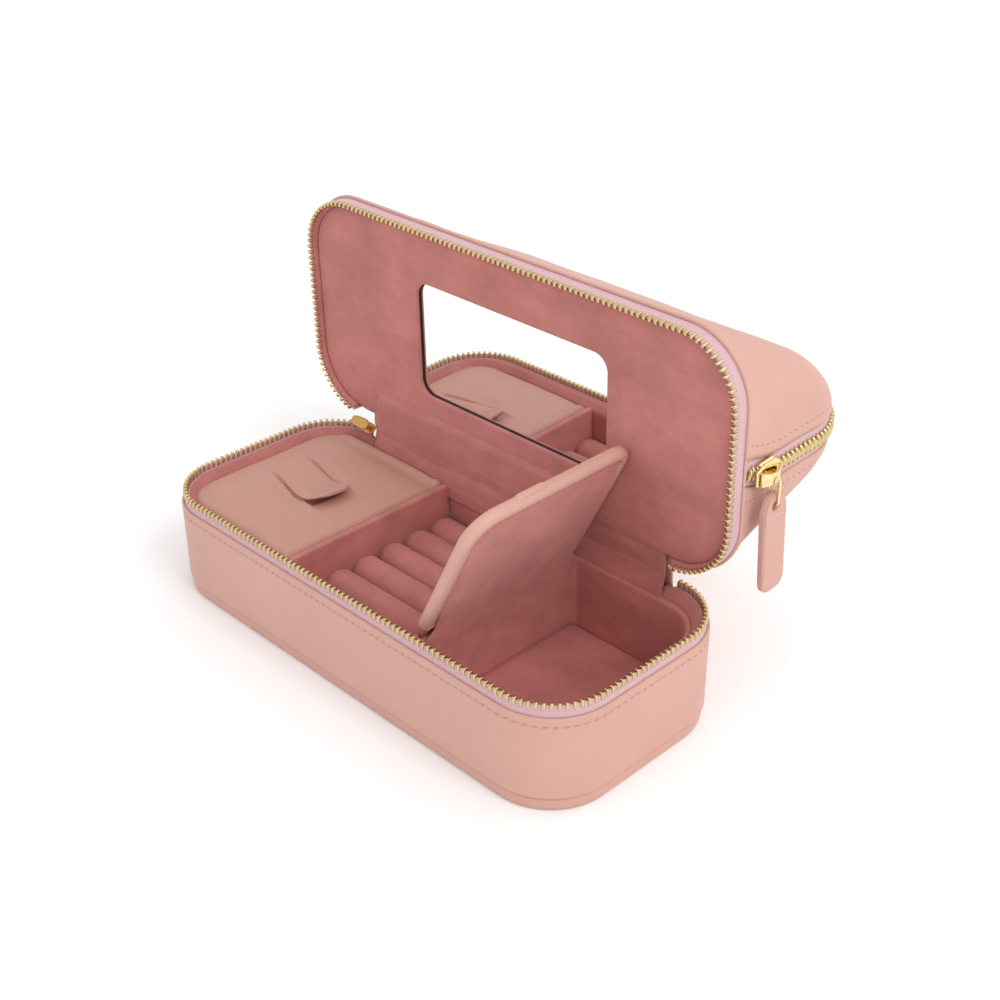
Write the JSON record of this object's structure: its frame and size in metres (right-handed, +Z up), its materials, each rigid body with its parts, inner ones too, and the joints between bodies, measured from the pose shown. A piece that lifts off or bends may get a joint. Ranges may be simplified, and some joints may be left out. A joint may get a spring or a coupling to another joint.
{
  "type": "jewelry box",
  "caption": "Zip-round travel jewellery case with ring rolls, a lift-out pad, a mirrored lid on a soft hinge and a zip pouch on the lid",
  "frame": {"origin": "middle of the tray's underside", "axes": "+X along the case towards the open compartment, +Y from the front to the hinge, +Z up"},
  "size_m": [0.2, 0.1433, 0.1291],
  "materials": {
    "leather": "smooth pink leatherette, satin",
    "pad_leather": "pink leatherette, satin",
    "pull_leather": "pink leatherette, satin",
    "suede": "brushed rose suede",
    "rim_lining": "light pink piping",
    "pouch_lining": "woven lining",
    "zip_tape": "woven lilac pink tape",
    "foam": "matte foam",
    "board": "grey board, matte",
    "mirror": "silvered glass",
    "zip_metal": "pale brass, polished",
    "gold": "light gold plating, polished"
  },
  "bodies": {
    "tray": {"base_plinth": "leather", "wall_board": "board", "tray_leather": "leather", "tray_lining": "suede", "lining_rim": "rim_lining", "floor_suede": "suede", "left_box": "suede", "right_box": "suede", "ring_base": "foam", "ring_roll_1": "suede", "ring_roll_2": "suede", "ring_roll_3": "suede", "ring_roll_4": "suede", "ring_roll_5": "suede", "ring_roll_6": "suede", "divider_left": "suede", "divider_right": "suede", "tray_tape": "zip_tape", "tray_teeth": "zip_metal", "hinge_leather": "leather", "hinge_suede": "suede", "flap_hinge": "suede"},
    "pad": {"pad_board": "board", "pad_cushion": "pad_leather", "pad_tab": "pad_leather"},
    "flap": {"flap_leather": "pad_leather", "flap_suede": "suede", "flap_tab": "pad_leather"},
    "lid": {"lid_board": "board", "lid_suede": "suede", "mirror_glass": "mirror", "mirror_backing": "board", "lid_tape": "zip_tape", "lid_teeth": "zip_metal", "lid_leather": "leather", "pouch_front": "leather", "pouch_back": "leather", "pouch_lining": "pouch_lining", "pouch_tape_front": "zip_tape", "pouch_tape_back": "zip_tape", "pouch_teeth_front": "zip_metal", "pouch_teeth_back": "zip_metal"},
    "slider_1": {"slider_1": "gold"},
    "link_1": {"link_1": "gold"},
    "pull_1": {"pull_1": "pull_leather"},
    "slider_2": {"slider_2": "gold"},
    "link_2": {"link_2": "gold"},
    "pull_2": {"pull_2": "pull_leather"}
  },
  "joints": [
    {"name": "lid_hinge", "type": "hinge", "parent": "tray", "child": "lid", "pos_m": [0, 0.0404, 0.0471], "axis": [-1, 0, 0], "range_deg": [-88.7, 30], "deforming": ["hinge_leather", "hinge_suede", "flap_leather", "flap_suede", "flap_tab"]},
    {"name": "flap_hinge_turn", "type": "hinge", "parent": "tray", "child": "flap", "pos_m": [0.0322, 0, 0.035], "axis": [0, -1, 0], "range_deg": [-63.8, 22]},
    {"name": "slider_1_turn", "type": "hinge", "parent": "tray", "child": "slider_1", "pos_m": [0, 0.0404, 0.0471], "axis": [-1, 0, 0], "range_deg": [-44.4, 15.1]},
    {"name": "pad_tilt", "type": "hinge", "parent": "tray", "child": "pad", "pos_m": [0, 0.0354, 0.0362], "axis": [-1, 0, 0], "range_deg": [0, 42]},
    {"name": "slider_2_slide", "type": "slide", "parent": "lid", "child": "slider_2", "axis": [0, 0.9997, 0.0227], "range_m": [0, 0.021]},
    {"name": "link_2_swing", "type": "hinge", "parent": "slider_2", "child": "link_2", "pos_m": [0.1007, 0.04698, 0.08336], "axis": [0, -0.9997, -0.0227], "range_deg": [-3, 110]},
    {"name": "pull_2_swing", "type": "hinge", "parent": "link_2", "child": "pull_2", "pos_m": [0.1007, 0.04698, 0.07486], "axis": [1, 0, 0], "range_deg": [-70, 70]},
    {"name": "link_1_swing", "type": "hinge", "parent": "slider_1", "child": "link_1", "pos_m": [-0.0715, 0.03852, 0.03803], "axis": [1, 0, 0], "range_deg": [0, 8]},
    {"name": "pull_1_swing", "type": "hinge", "parent": "link_1", "child": "pull_1", "pos_m": [-0.0715, 0.04702, 0.03803], "axis": [0, 0, 1], "range_deg": [-20, 20]}
  ],
  "couplings": [
    {"joint": "flap_hinge_turn", "follows": "lid_hinge", "ratio": 0.71815},
    {"joint": "slider_1_turn", "follows": "lid_hinge", "ratio": 0.5}
  ]
}
